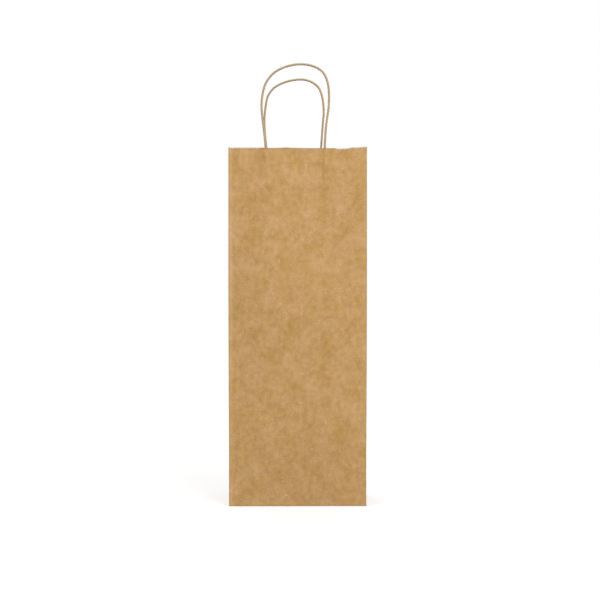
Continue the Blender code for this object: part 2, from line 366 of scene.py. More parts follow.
def back_crosses(z):
    """0 on the creases that run across the back, rising to 1 away from them."""
    return away_from(np.abs(z - CREASE_Z)) * away_from(np.abs(z - BAND_TOP_Z)) * away_from(z)


def back_bulge(x, z):
    """The large shape of the back, which the cord's legs follow too."""
    pillow = PILLOW * away_from(from_side(x))
    waves = panel_waves(x, z, SEEDS["back waves"])
    return back_crosses(z) * (side_roll(x, z, BACK_ROLL) + pillow + waves)


def back_relief(x, z):
    """How far each point of the back stands out of its plane."""
    over_lap = plateau(x, LAP_LOW.x, LAP_HIGH.x, 1.6 * MM)
    seam = LAP_STEP * over_lap * ease(CREASE_Z, CREASE_Z + 6 * MM, z)
    wrinkles = away_from(from_side(x)) * crinkle(x, z, SEEDS["back wrinkles"])
    return (
        back_bulge(x, z) + back_crosses(z) * (seam + wrinkles)
        + handle_relief(x, z, BACK_LEGS, BACK_PATCH)
    )


def back_place(x, z):
    """A point of the back, from its foot up to the mouth."""
    lift = edge_wander(x, SEEDS["back edge"]) * near_mouth(z)
    return np.stack([narrow(x, z), back_plane(z) + back_relief(x, z), z + lift], axis=-1)


def centre_inset(z):
    """How far the centre crease of a side is drawn in: most at mid height."""
    cad_inset = HINGE_X - CENTRE_X
    sag = SIDE_SAG * hump(z, SAG_Z, SAG_REACH)
    return (cad_inset + sag) * ease(CREASE_Z, SIDE_SETTLED_Z, z)


def side_creases(t, z):
    """Distance to the nearest crease of the side wall at (t, z)."""
    diagonal = np.abs(z - CREASE_Z + np.abs(t)) * math.sqrt(0.5)
    lower = np.where(z < CREASE_Z, diagonal, np.hypot(t, z - CREASE_Z))
    corner = -FRONT_Y - np.abs(t)
    centre = np.where(z > CREASE_Z, np.abs(t), np.inf)
    rear_cross = np.where(t > 0, np.abs(z - CREASE_Z), np.inf)
    rear_band = np.where(t > 0, np.abs(z - BAND_TOP_Z), np.inf)
    front_diagonal = np.where(t < 0, diagonal, np.inf)
    return np.minimum.reduce([corner, centre, rear_cross, rear_band, lower, front_diagonal])


def side_relief(side, t, z):
    """How far each point of a side stands out of its facet."""
    free = away_from(side_creases(t, z))
    seed = SEEDS["left side"] if side < 0 else SEEDS["right side"]
    between_creases = 0.5 - 0.5 * np.cos(4 * math.pi * t / (2 * FRONT_Y))
    bow = SIDE_BOW * between_creases * ease(CREASE_Z, 0.15, z)
    pillow = PILLOW * (1 - ease(0.05, 0.12, z))
    waves = 0.55 * MM * noise(t, z, 60 * MM, seed) + 0.3 * MM * noise(t, z, 27 * MM, seed + 1)
    return free * (bow + pillow + waves + crinkle(t, z, seed + 3))


def side_place(side, t, z):
    """A point of a folding side. t runs from the front corner to the back corner."""
    share = np.abs(t) / -FRONT_Y
    depth = np.where(t < 0, t, t * back_plane(z) / -FRONT_Y)
    y = depth + CENTRE_Y * (1 - share) * ease(CREASE_Z, SIDE_SETTLED_Z, z)
    x = HINGE_X - centre_inset(z) * (1 - share) + side_relief(side, t, z)
    lift = edge_wander(t, SEEDS["side edges"] + side) * (1 - share) * near_mouth(z)
    edge = front_edge(side * HINGE_X) * ease(0.7, 1, share) * (t < 0)
    rise = lift + edge * near_mouth(z) + foot_lift(side * HINGE_X, t, z)
    return np.stack([side * narrow(x, z), y, z + rise], axis=-1)


# ---------------------------------------------------------------- paper shells

NOSE_TURNS = (math.radians(30), math.radians(-30))
INNER_SHEET_SHIFT = 0.5
# The inner face gets half of the mark: rubbed paper, painted highlight and darker cut edge.
INNER_WEAR_AND_LIGHT_SHARE = 0.5


def at_mouth(a, b):
    """Which points of a wall lie on its cut edge."""
    return b > HEIGHT - NEAR


def flat_grid(columns, rows, outline):
    """A grid over the outline, cut along the outline's slanted sides."""
    lows = [min(point[k] for point in outline) for k in (0, 1)]
    highs = [max(point[k] for point in outline) for k in (0, 1)]
    across = [a for a in columns if lows[0] - NEAR <= a <= highs[0] + NEAR]
    up = [b for b in rows if lows[1] - NEAR <= b <= highs[1] + NEAR]
    grid = bmesh.new()
    lines = [[grid.verts.new((a, b, 0)) for a in across] for b in up]
    for lower, upper in zip(lines, lines[1:]):
        for i in range(len(across) - 1):
            grid.faces.new((lower[i], lower[i + 1], upper[i + 1], upper[i]))
    for start, end in zip(outline, outline[1:] + outline[:1]):
        run = Vector((end[0] - start[0], end[1] - start[1], 0))
        if abs(run.x) < NEAR or abs(run.y) < NEAR:
            continue
        everything = grid.verts[:] + grid.edges[:] + grid.faces[:]
        bmesh.ops.bisect_plane(
            grid, geom=everything, dist=NEAR, plane_co=(*start, 0),
            plane_no=(run.y, -run.x, 0), clear_outer=True,
        )
    bmesh.ops.delete(grid, geom=[v for v in grid.verts if not v.link_faces], context="VERTS")
    return grid


def is_border(edge):
    """Whether an edge lies on the border of its sheet."""
    return len(edge.link_faces) == 1


def outward_at_border(grid):
    """For each border point, the flat direction that points out of the sheet."""
    outward = np.zeros((len(grid.verts), 2))
    for edge in filter(is_border, grid.edges):
        loop = edge.link_loops[0]
        start, end = loop.vert, loop.link_loop_next.vert
        run = end.co - start.co
        normal = np.array([run.y, -run.x]) / run.length
        outward[start.index] += normal
        outward[end.index] += normal
    lengths = np.linalg.norm(outward, axis=1, keepdims=True)
    return outward / np.maximum(lengths, 1e-9)


def frame_at(place, a, b):
    """The point at (a, b), the wall's directions there and its outward normal."""
    step = 0.05 * MM
    along = (place(a + step, b) - place(a - step, b)) / (2 * step)
    up = (place(a, b + step) - place(a, b - step)) / (2 * step)
    normal = np.cross(along, up)
    normal /= np.linalg.norm(normal, axis=1, keepdims=True)
    return place(a, b), along, up, normal


def make_mesh_object(name, points, faces, sheet_place, wear_and_painted_light):
    """A smooth-shaded piece that stores where it lies on its sheet, and its tint mark: rubbed paper,
    painted highlights and darker cut edges on paper, painted shade in a cord's grooves.
    """
    mesh = bpy.data.meshes.new(name)
    mesh.from_pydata([tuple(p) for p in points], [], faces)
    mesh.update()
    mesh.attributes.new("sheet_place", "FLOAT_VECTOR", "POINT")
    mesh.attributes["sheet_place"].data.foreach_set("vector", sheet_place.astype(np.float32).ravel())
    mesh.attributes.new("wear_and_painted_light", "FLOAT", "POINT")
    mesh.attributes["wear_and_painted_light"].data.foreach_set("value", wear_and_painted_light.astype(np.float32))
    mesh.shade_smooth()
    mesh.set_sharp_from_angle(angle=math.radians(70))
    piece = bpy.data.objects.new(name, mesh)
    bpy.context.scene.collection.objects.link(piece)
    return piece


def step_outward(grid, along, up):
    """For each border point, the unit step on the bent wall that points off the sheet."""
    outward = outward_at_border(grid)
    step = outward[:, :1] * along + outward[:, 1:] * up
    return step / np.maximum(np.linalg.norm(step, axis=1, keepdims=True), 1e-9)


def shell_points(middle, normal, side_step, border):
    """The outer face, the inner face and the two lines of points of the rounded nose."""
    half = PAPER / 2
    layers = [middle + half * normal, middle - half * normal]
    for turn in NOSE_TURNS:
        nose = middle + half * (math.cos(turn) * side_step + math.sin(turn) * normal)
        layers.append(nose[border])
    return np.concatenate(layers)


def shell_faces(grid, border, flip):
    """Both faces of the sheet, and the strips of the nose round its border."""
    count = len(grid.verts)
    rim = {index: 2 * count + number for number, index in enumerate(border)}
    faces = []
    for face in grid.faces:
        corners = [v.index for v in face.verts]
        faces.append(corners[::-1] if flip else corners)
        faces.append([count + i for i in (corners if flip else corners[::-1])])
    for edge in filter(is_border, grid.edges):
        loop = edge.link_loops[0]
        start, end = loop.vert.index, loop.link_loop_next.vert.index
        if flip:
            start, end = end, start
        chain = [
            (start, end),
            (rim[start], rim[end]),
            (len(border) + rim[start], len(border) + rim[end]),
            (count + start, count + end),
        ]
        for (s0, e0), (s1, e1) in zip(chain, chain[1:]):
            faces.append([e0, s0, s1, e1])
    return faces


def places_on_sheet(s, t, border):
    """The pattern's place for each point. The inner face has a pattern of its own."""
    outer = np.stack([s, t, 0 * s], axis=-1)
    inner = outer + np.array([0, 0, INNER_SHEET_SHIFT])
    return np.concatenate([outer, inner, outer[border], outer[border]])


def make_paper(name, outline, columns, rows, place, flip=False, teeth=False, raw=(), sheet=None, wear_and_painted_light=None):
    """A closed shell of paper over the outline. Creased borders get a rounded nose.

    flip turns the outer face over where the wall's own directions run the other way.
    teeth cuts the top row into a zigzag. raw lists tests for borders that are cut
    square instead. sheet gives the place on the blank, and the mark function gives its rubbed paper,
    painted highlights and darker cut edge."""
    grid = flat_grid(columns, rows, outline)
    grid.verts.index_update()
    flat = np.array([v.co[:2] for v in grid.verts])
    a, b = flat[:, 0], flat[:, 1]
    middle, along, up, normal = frame_at(place, a, b)
    if flip:
        normal = -normal
    if teeth:
        column = np.rint((a - columns[0]) / (columns[1] - columns[0])).astype(int)
        middle[at_mouth(a, b) & (column % 2 == 0), 2] -= TOOTH_DEPTH
    side_step = step_outward(grid, along, up)
    for is_raw in raw:
        side_step[is_raw(a, b)] = 0
    border = sorted({v.index for edge in filter(is_border, grid.edges) for v in edge.verts})
    points = shell_points(middle, normal, side_step, border)
    faces = shell_faces(grid, border, flip)
    grid.free()
    s, t = sheet(a, b) if sheet else (a, b)
    # The mark: rubbed paper, painted highlights and a darker cut edge.
    rubbed = wear_and_painted_light(a, b) if wear_and_painted_light else 0 * a
    wear_and_light_all = np.concatenate([rubbed, INNER_WEAR_AND_LIGHT_SHARE * rubbed, rubbed[border], rubbed[border]])
    return make_mesh_object(name, points, faces, places_on_sheet(s, t, border), wear_and_light_all)


def rectangle(left, low, right, high):
    """An outline from its lower left corner round to its upper left one."""
    return [(left, low), (right, low), (right, high), (left, high)]


def finish_piece(piece, material, slot, body, *nodes):
    """Gives a piece its material, and lets it stand for its CAD nodes. The slot is not used."""
    piece.data.materials.append(material)
    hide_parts(*nodes)
    if body is not None:
        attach(piece, body)
    return piece


# ---------------------------------------------------------------- materials

class Graph:
    """A small helper that adds and links the nodes of one material."""

    def __init__(self, name):
        self.material = bpy.data.materials.new(name)
        self.material.use_nodes = True
        self.tree = self.material.node_tree
        self.shader = self.tree.nodes["Principled BSDF"]

    def add(self, kind, inputs=None, **settings):
        """Adds a node. An input is a value, or the output that it is linked to."""
        node = self.tree.nodes.new(kind)
        for key, value in settings.items():
            setattr(node, key, value)
        for key, value in (inputs or {}).items():
            self.feed(node.inputs[key], value)
        return node

    def feed(self, socket, value):
        if isinstance(value, bpy.types.NodeSocket):
            self.tree.links.new(value, socket)
        else:
            socket.default_value = value

    def place(self, name, scale, turn=0.0):
        """A stored place as texture coordinates, in lumps per metre along each axis."""
        stored = self.add("ShaderNodeAttribute", attribute_name=name).outputs["Vector"]
        turned = self.add(
            "ShaderNodeVectorRotate", {"Vector": stored, "Angle": turn}, rotation_type="Z_AXIS"
        ).outputs["Vector"]
        return self.add(
            "ShaderNodeVectorMath", {0: turned, 1: scale}, operation="MULTIPLY"
        ).outputs["Vector"]

    def noise(self, vector, scale=1.0, detail=2.0, rough=0.5):
        return self.add(
            "ShaderNodeTexNoise",
            {"Vector": vector, "Scale": scale, "Detail": detail, "Roughness": rough},
        ).outputs["Fac"]

    def ramp(self, value, low, high, to_low=0.0, to_high=1.0):
        return self.add(
            "ShaderNodeMapRange",
            {"Value": value, "From Min": low, "From Max": high, "To Min": to_low, "To Max": to_high},
        ).outputs["Result"]

    def math(self, operation, first, second=0.0):
        return self.add("ShaderNodeMath", {0: first, 1: second}, operation=operation).outputs[0]

    def mix(self, factor, first, second, blend="MIX"):
        node = self.add("ShaderNodeMix", data_type="RGBA", blend_type=blend)
        self.feed(node.inputs["Factor"], factor)
        self.feed(node.inputs["A"], first)
        self.feed(node.inputs["B"], second)
        return node.outputs["Result"]


PALE_FIBRE = (0.62, 0.42, 0.22, 1)
DARK_FIBRE = (0.26, 0.140, 0.045, 1)
# The pale tone below is rubbed paper on the creases, and a painted highlight beside the front's side
# creases and along its foot.
RUBBED_AND_HIGHLIGHT_KRAFT = (0.70, 0.45, 0.27, 1)
# The dark tone below darkens the cut edges.
EDGE_DARK_KRAFT = (0.16, 0.10, 0.05, 1)
# Each layer is its turn, fibre length and width, how far down from 1 the noise is kept,
# its strength and its colour.
FIBRE_LAYERS = (
    (0.06, 5.0 * MM, 1.00 * MM, 0.345, 0.48, PALE_FIBRE),
    (1.52, 4.4 * MM, 0.95 * MM, 0.345, 0.56, DARK_FIBRE),
    (1.63, 5.0 * MM, 0.95 * MM, 0.340, 0.44, PALE_FIBRE),
    (-0.04, 4.0 * MM, 0.95 * MM, 0.340, 0.60, DARK_FIBRE),
    (0.70, 3.2 * MM, 0.42 * MM, 0.32, 0.34, PALE_FIBRE),
    (-0.50, 2.8 * MM, 0.40 * MM, 0.32, 0.42, DARK_FIBRE),
)
# Lumps of a pattern per metre: along the blank's width, along its height and through it.
CLOUDS = (52.0, 44.0, 300.0)
BLOTCHES = (190.0, 150.0, 300.0)
GRAIN = (950.0, 700.0, 300.0)
THROUGH_FIBRES = 900.0
FIBRE_EDGE = 0.08
SPECKLE = 0.14
SOFT_GLOSS = 0.3


def fibres(graph, turn, length, width, kept):
    """Sparse thin lines: noise stretched along one direction, kept where it peaks."""
    place = graph.place("sheet_place", (1 / width, 1 / length, THROUGH_FIBRES), turn)
    return graph.ramp(graph.noise(place, 1.0, 1.0), 1 - kept, 1 - kept + FIBRE_EDGE)


def speckled(graph, tone, blotches, grain, mottle):
    """The tone made a little lighter and darker by blotches and by fine grain."""
    blotch_shade = graph.ramp(blotches, 0.25, 0.75, -SPECKLE, SPECKLE)
    grain_shade = graph.ramp(grain, 0.25, 0.75, -SPECKLE, SPECKLE)
    speckle = graph.math("ADD", blotch_shade, grain_shade)
    shade = graph.math("ADD", graph.math("MULTIPLY", speckle, mottle), 1.0)
    grey = graph.add("ShaderNodeCombineColor", {"Red": shade, "Green": shade, "Blue": shade})
    return graph.mix(1.0, tone, grey.outputs["Color"], "MULTIPLY")


def tinted_by_wear_and_light(graph, tone):
    """The tone paler where the paper is rubbed and where highlights are painted, and darker where the mark
    is below 0, on the cut edges.
    """
    wear_and_painted_light = graph.add("ShaderNodeAttribute", attribute_name="wear_and_painted_light").outputs["Fac"]
    # Above 0 the mark pales the tone: rubbed paper, and painted highlight.
    tone = graph.mix(graph.math("MULTIPLY", wear_and_painted_light, 0.5), tone, RUBBED_AND_HIGHLIGHT_KRAFT)
    # Below 0 the mark darkens the tone, along the cut edges.
    return graph.mix(graph.math("MULTIPLY", wear_and_painted_light, -1.0), tone, EDGE_DARK_KRAFT)


def finish_shader(graph, tone, gloss, height, strength, distance):
    """Links a tone, a roughness and a bump height to the material's shader."""
    graph.feed(graph.shader.inputs["Base Color"], tone)
    graph.feed(graph.shader.inputs["Roughness"], gloss)
    graph.shader.inputs["Specular IOR Level"].default_value = SOFT_GLOSS
    bump = graph.add("ShaderNodeBump", {"Height": height, "Strength": strength, "Distance": distance})
    graph.feed(graph.shader.inputs["Normal"], bump.outputs["Normal"])
    return graph.material


def make_kraft(name, colour, light, dark, mottle=1.0, roughness=0.86):
    """Kraft paper: clouds, blotches, grain, layers of fibres, the pale tone of rubbed
    creases and of painted highlights, and darker cut edges."""
    graph = Graph(name)
    clouds = graph.noise(graph.place("sheet_place", CLOUDS), 1.0, 2.0, 0.5)
    blotches = graph.noise(graph.place("sheet_place", BLOTCHES), 1.0, 2.0, 0.5)
    grain = graph.noise(graph.place("sheet_place", GRAIN), 1.0, 2.0, 0.6)
    tone = graph.mix(graph.ramp(clouds, 0.28, 0.72), dark, light)
    tone = speckled(graph, graph.mix(0.25, tone, colour), blotches, grain, mottle)
    for turn, length, width, kept, strength, paint in FIBRE_LAYERS:
        lines = fibres(graph, turn, length, width, kept)
        tone = graph.mix(graph.math("MULTIPLY", lines, strength), tone, paint)
    gloss = graph.ramp(blotches, 0.2, 0.8, roughness - 0.06, roughness + 0.06)
    height = graph.math("ADD", grain, graph.math("MULTIPLY", lines, 0.5))
    return finish_shader(graph, tinted_by_wear_and_light(graph, tone), gloss, height, 0.35, 0.06 * MM)


CORD_DARK = (0.27, 0.185, 0.100, 1)
CORD_LIGHT = (0.47, 0.345, 0.210, 1)
CORD_BLOTCH = (0.50, 0.37, 0.23, 1)
# Painted shade for the grooves between the plies.
CORD_GROOVE_SHADE = (0.22, 0.13, 0.06, 1)


def make_cord_kraft(name):
    """Twisted kraft paper: painted shade where the plies meet, and fine creases along them."""
    graph = Graph(name)
    groove = graph.add("ShaderNodeAttribute", attribute_name="wear_and_painted_light").outputs["Fac"]
    creases = graph.noise(graph.place("sheet_place", (60.0, 2600.0, 1.0)), 1.0, 3.0, 0.6)
    blotches = graph.noise(graph.place("sheet_place", (120.0, 400.0, 1.0)), 1.0, 2.0)
    tone = graph.mix(graph.ramp(creases, 0.3, 0.7), CORD_DARK, CORD_LIGHT)
    tone = graph.mix(graph.ramp(blotches, 0.25, 0.75, 0.0, 0.35), tone, CORD_BLOTCH)
    # Painted shade: the tone darkened by how deep the point lies in a groove between plies.
    tone = graph.mix(graph.math("MULTIPLY", groove, 0.55), tone, CORD_GROOVE_SHADE)
    gloss = graph.ramp(creases, 0.2, 0.8, 0.78, 0.92)
    return finish_shader(graph, tone, gloss, creases, 0.5, 0.08 * MM)


OUTER_KRAFT = make_kraft(
    "outer_kraft",
    colour=(0.410, 0.243, 0.088, 1), light=(0.458, 0.279, 0.124, 1), dark=(0.360, 0.207, 0.057, 1),
)
INNER_KRAFT = make_kraft(
    "inner_kraft", mottle=1.4, roughness=0.9,
    colour=(0.402, 0.241, 0.090, 1), light=(0.446, 0.272, 0.124, 1), dark=(0.355, 0.207, 0.061, 1),
)
PATCH_KRAFT = make_kraft(
    "patch_kraft", mottle=1.4, roughness=0.88,
    colour=(0.388, 0.231, 0.085, 1), light=(0.432, 0.262, 0.117, 1), dark=(0.343, 0.200, 0.058, 1),
)
CORD_KRAFT = make_cord_kraft("cord_kraft")

# ---------------------------------------------------------------- the folded blank

SIDE_LENGTH = -2 * FRONT_Y
# How much darker the cut edges are made.
EDGE_DARKENING = 0.8
CREASE_RUB_WIDTH = 0.9 * MM


def side_sheet(side):
    """Places on the blank of a side wall, which lies next to the front panel."""
    return lambda t, z: (side * (HINGE_X + (t - FRONT_Y)), z)


def back_sheet(x, z):
    """Places on the blank of the back, which lies next to the right side."""
    return HINGE_X + SIDE_LENGTH + (HINGE_X - x), z


def crease_rub(a, b, distance, seed):
    """The patchy rubbing of a crease at that distance."""
    patchy = 0.6 + 0.4 * noise(a, b, 14 * MM, seed)
    return hump(distance, 0, CREASE_RUB_WIDTH) * patchy


def side_wear(t, z):
    """Rubbed creases and a darker cut edge."""
    rubbed = 0.36 * crease_rub(t, z, side_creases(t, z), SEEDS["side wear"])
    return rubbed - EDGE_DARKENING * at_mouth(t, z)


def front_wear_and_painted_light(x, z):
    """Bands just inside the side creases, of rubbed paper and painted highlight, a painted highlight along
    the lower edge, and a darker cut edge.
    """
    patchy = 0.75 + 0.35 * noise(z, x * 0, 30 * MM, SEEDS["front wear"])
    band = hump(from_side(x), 2.4 * MM, 1.9 * MM) * patchy
    # The bands are rubbed paper with a painted highlight in them, painted much stronger on the left than on
    # the right.
    strength = np.where(x < 0, 0.55, 0.10)
    # A painted highlight along the bottom edge of the panel.
    foot = 0.50 * hump(z, 1.6 * MM, 1.3 * MM)
    return np.maximum(np.maximum(strength * band, foot), 0) - EDGE_DARKENING * at_mouth(x, z)


def back_wear_and_painted_light(x, z):
    """The front's bands of rubbed paper and painted highlight, its painted highlight along the foot and its
    darker cut edge, and rubbed creases across the lower part.
    """
    creases = np.minimum(np.abs(z - CREASE_Z), np.abs(z - BAND_TOP_Z))
    rubbed = 0.3 * crease_rub(x, z, creases, SEEDS["back wear"])
    return np.maximum(front_wear_and_painted_light(x, z), rubbed) - EDGE_DARKENING * at_mouth(x, z)


def blend_across(piece, start):
    """Bakes the piece's transform into its mesh."""
    start = Vector(start)
    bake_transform(piece)


def make_front():
    """The front panel, which everything else hangs on."""
    piece = make_paper(
        "front_panel_paper", rectangle(-HINGE_X, FOOT_Z, HINGE_X, HEIGHT), PANEL_COLUMNS, ROWS,
        front_place, teeth=True, raw=(at_mouth,), wear_and_painted_light=front_wear_and_painted_light,
    )
    finish_piece(piece, OUTER_KRAFT, "outer_kraft", "front", "front_panel")


def make_back():
    """The back in three facets, cut where it creases across."""
    for name, low, high in (
        ("back_panel", BAND_TOP_Z, HEIGHT),
        ("back_panel_band", CREASE_Z, BAND_TOP_Z),
        ("back_panel_foot", FOOT_Z, CREASE_Z),
    ):
        piece = make_paper(
            name + "_paper", rectangle(-HINGE_X, low, HINGE_X, high), PANEL_COLUMNS, ROWS,
            back_place, flip=True, teeth=high == HEIGHT, raw=(at_mouth,), sheet=back_sheet,
            wear_and_painted_light=back_wear_and_painted_light,
        )
        finish_piece(piece, OUTER_KRAFT, "outer_kraft", None, name)
        if name == "back_panel_foot":
            blend_across(piece, (0, FOOT_BACK_Y, FOOT_Z))
        else:
            blend_across(piece, (-HINGE_X, BACK_Y, 0))


def make_side(hand, side):
    """The five facets of a folding side."""
    reach = -FRONT_Y

    def facet(part, outline, teeth=False):
        piece = make_paper(
            f"{hand}_gusset_{part}_paper", outline, SIDE_COLUMNS, ROWS,
            lambda t, z: side_place(side, t, z), flip=side < 0, teeth=teeth, raw=(at_mouth,),
            sheet=side_sheet(side), wear_and_painted_light=side_wear,
        )
        return finish_piece(piece, OUTER_KRAFT, "outer_kraft", None, f"{hand}_gusset_{part}")

    corner_x = side * HINGE_X
    fore = facet("front", [(-reach, FOOT_Z), (0, CREASE_Z), (0, HEIGHT), (-reach, HEIGHT)], teeth=True)
    blend_across(fore, (corner_x, FRONT_Y, 0))
    for part, outline in (
        ("back", rectangle(0, BAND_TOP_Z, reach, HEIGHT)),
        ("back_band", rectangle(0, CREASE_Z, reach, BAND_TOP_Z)),
    ):
        aft = facet(part, outline, teeth=part == "back")
        centre = (side * CENTRE_X, CENTRE_Y, 0)
        blend_across(aft, centre)
    foot = facet("foot", [(-reach, FOOT_Z), (reach, FOOT_Z), (0, CREASE_Z)])
    blend_across(foot, (corner_x, 0, FOOT_Z))
    corner = facet("rear_corner", [(reach, FOOT_Z), (reach, CREASE_Z), (0, CREASE_Z)])
    blend_across(corner, (corner_x, FOOT_BACK_Y, 0))


# ---------------------------------------------------------------- the block bottom

LAYER = PAPER + 0.08 * MM
FLAP_RUN = FLAP_INNER_Y - FRONT_Y
TUCK_CHAMFER = 8 * MM
# Each inner sheet takes its pattern from a place of its own, that far along.
FLAP_SHEET_SHIFT = -0.06
TUCK_SHEET_SHIFT = 0.3
LAP_SHEET_SHIFT = 0.9
PATCH_SHEET_SHIFT = 1.3
COVER_SHEET_SHIFT = 2.3


def over_flap(x, y, side):
    """1 where the flap from that side lies, and a short ramp at its cut edges."""
    run = -FRONT_Y - side * y
    inner = 1 - ease(FLAP_RUN - 0.5 * MM, FLAP_RUN + 1.5 * MM, run)
    slanted = ease(-1.5 * MM, 0.5 * MM, from_side(x) - run)
    return inner * slanted


def bottom_place(layers_below):
    """The bottom's sheets lie on each other, and each steps over the edges below it."""
    def place(x, y):
        z = FOOT_Z + foot_lift(x, y, 0)
        for side in layers_below:
            z = z + LAYER * over_flap(x, y, side)
        return np.stack([narrow(x, 0 * x), y, z], axis=-1)
    return place


def lines_through(lines, ends):
    """The grid's lines, with one on each end of the outline too."""
    return np.array(sorted({round(v, 7) for v in [*ends, *lines]}))


def make_flap(name, outline, below, body):
    """One of the two flaps of the bottom."""
    rows = lines_through(SIDE_COLUMNS, [y for _, y in outline])
    piece = make_paper(
        name + "_paper", outline, PANEL_COLUMNS, rows, bottom_place(below), flip=True,
        sheet=lambda x, y: (x, y + FLAP_SHEET_SHIFT),
    )
    return finish_piece(piece, OUTER_KRAFT, "outer_kraft", body, name)


def make_tuck(hand, side):
    """A side's tuck, which lies on both flaps. Its inner corners are cut off."""
    reach, root, inner = -FRONT_Y, HINGE_X, -TUCK_INNER_X
    cut_x, cut_y = inner + TUCK_CHAMFER, reach - TUCK_CHAMFER
    outline = [
        (cut_x, -reach), (root, -reach), (root, reach), (cut_x, reach), (inner, cut_y), (inner, -cut_y),
    ]
    if side < 0:
        outline = [(-x, y) for x, y in reversed(outline)]
    name = f"bottom_{hand}_tuck"
    piece = make_paper(
        name + "_paper", outline, lines_through(PANEL_COLUMNS, [x for x, _ in outline]), SIDE_COLUMNS,
        bottom_place((-1, 1)), flip=True, sheet=lambda x, y: (y, x + TUCK_SHEET_SHIFT),
    )
    finish_piece(piece, INNER_KRAFT, "inner_kraft", "bottom", name)


def make_bottom():
    """The block bottom: the front flap, the back flap on it and the two tucks on both."""
    tip = HINGE_X - FLAP_RUN
    front_flap = [(-HINGE_X, FRONT_Y), (HINGE_X, FRONT_Y), (tip, FLAP_INNER_Y), (-tip, FLAP_INNER_Y)]
    back_flap = [(tip, -FLAP_INNER_Y), (HINGE_X, -FRONT_Y), (-HINGE_X, -FRONT_Y), (-tip, -FLAP_INNER_Y)]
    front_piece = make_flap("bottom_front_flap", front_flap, (), None)
    blend_across(front_piece, (0, FRONT_Y, FOOT_Z))
    make_flap("bottom_back_flap", back_flap, (-1,), "bottom")
    make_tuck("left", -1)
    make_tuck("right", 1)


# ---------------------------------------------------------------- seam, patches, covers

LAP_COLUMNS = 13
LAP_GAP = 0.34 * MM
PATCH_COLUMN_STEP = 0.6 * MM
PATCH_ROWS = 41
PATCH_BELOW_MOUTH = 0.9 * MM
PATCH_GAP = 0.42 * MM
COVER_GAP = 0.50 * MM
LEG_SIDE_ROOM = 0.55 * MM
LEG_CREST_ROOM = 0.85 * MM
COVER_FADE = (-2.6 * MM, -0.2 * MM)
RISE_BELOW_LEGS = 0.15


def inside_of(place, inward, gap):
    """A sheet that follows a wall, that far inside its middle."""
    return lambda x, z: place(x, z) + np.array([0, inward * gap, 0])


def make_seam_lap():
    """The glue lap inside the back, in two pieces with the back's crease between them."""
    columns = np.linspace(LAP_LOW.x, LAP_HIGH.x, LAP_COLUMNS)
    for name in ("side_seam_lap", "side_seam_lap_band"):
        low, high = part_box(name)
        rows = lines_through(ROWS[(ROWS > low.z) & (ROWS < high.z)], [low.z, high.z])
        piece = make_paper(
            name + "_paper", rectangle(low.x, low.z, high.x, high.z), columns, rows,
            inside_of(back_place, -1, LAP_GAP), flip=True,
            sheet=lambda x, z: (x + LAP_SHEET_SHIFT, z),
        )
        finish_piece(piece, INNER_KRAFT, "inner_kraft", "back", name)


def over_legs(x, z, legs):
    """How far the inner strip stands off to pass over the two legs of a cord."""
    rise = 0 * x
    radius = CORD_RADIUS + LEG_SIDE_ROOM
    crest = 2 * CORD_RADIUS + LEG_CREST_ROOM
    for leg in legs:
        offset = np.abs(x - leg_x(leg, z)) / radius
        bell = 1 / (1 + (offset / 1.02) ** 6)
        rise = np.maximum(rise, crest * bell)
    fade = ease(LEG_FOOT_Z + COVER_FADE[0], LEG_FOOT_Z + COVER_FADE[1], z)
    return rise * (RISE_BELOW_LEGS + (1 - RISE_BELOW_LEGS) * fade)


def make_patches(which, side, place, legs, patch, body):
    """The two strips that hold a cord's legs, the inner one pressed over them."""
    low, high = patch
    top = high.z - PATCH_BELOW_MOUTH
    columns = np.linspace(low.x, high.x, round((high.x - low.x) / PATCH_COLUMN_STEP) + 1)
    rows = np.linspace(low.z, top, PATCH_ROWS)
    outline = rectangle(low.x, low.z, high.x, top)
    seed = SEEDS[f"{which} cover"]

    def cover_place(x, z):
        stand_off = COVER_GAP + over_legs(x, z, legs) + handle_relief(x, z, legs, patch)
        buckle = 0.16 * MM * noise(x, z, 7 * MM, seed) + 0.10 * MM * noise(x, z, 3.1 * MM, seed + 1)
        points = place(x, z)
        points[..., 1] += -side * (stand_off + buckle)
        return points

    for part, strip_place, shift in (
        ("patch", inside_of(place, -side, PATCH_GAP), PATCH_SHEET_SHIFT),
        ("cover", cover_place, COVER_SHEET_SHIFT),
    ):
        name = f"{which}_handle_{part}"
        strip = make_paper(
            name + "_paper", outline, columns, rows, strip_place, flip=side > 0,
            sheet=lambda x, z, shift=shift: (z + shift + side, x),
        )
        finish_piece(strip, PATCH_KRAFT, "patch_kraft", body, name)


# ---------------------------------------------------------------- the cord handles

PLIES = 3
PLY_DEPTH = 0.17
TWIST_PITCH = 12.0 * MM
RING_STEP = 0.6 * MM
RING_POINTS = 30
LEG_SETTLE = 30 * MM
WANDER_LENGTHS = (9 * MM, 3.7 * MM, 6 * MM)


def smooth_line(points, step):
    """A Catmull-Rom curve through the points, read about every step along it."""
    points = [Vector(p) for p in points]
    padded = [2 * points[0] - points[1], *points, 2 * points[-1] - points[-2]]
    line = []
    for before, start, end, after in zip(padded, padded[1:], padded[2:], padded[3:]):
        pieces = max(1, round((end - start).length / step))
        for number in range(pieces):
            t = number / pieces
            bend = 2 * before - 5 * start + 4 * end - after
            twist = 3 * start - before - 3 * end + after
            line.append(start + 0.5 * t * ((end - before) + t * (bend + t * twist)))
    line.append(points[-1])
    return line


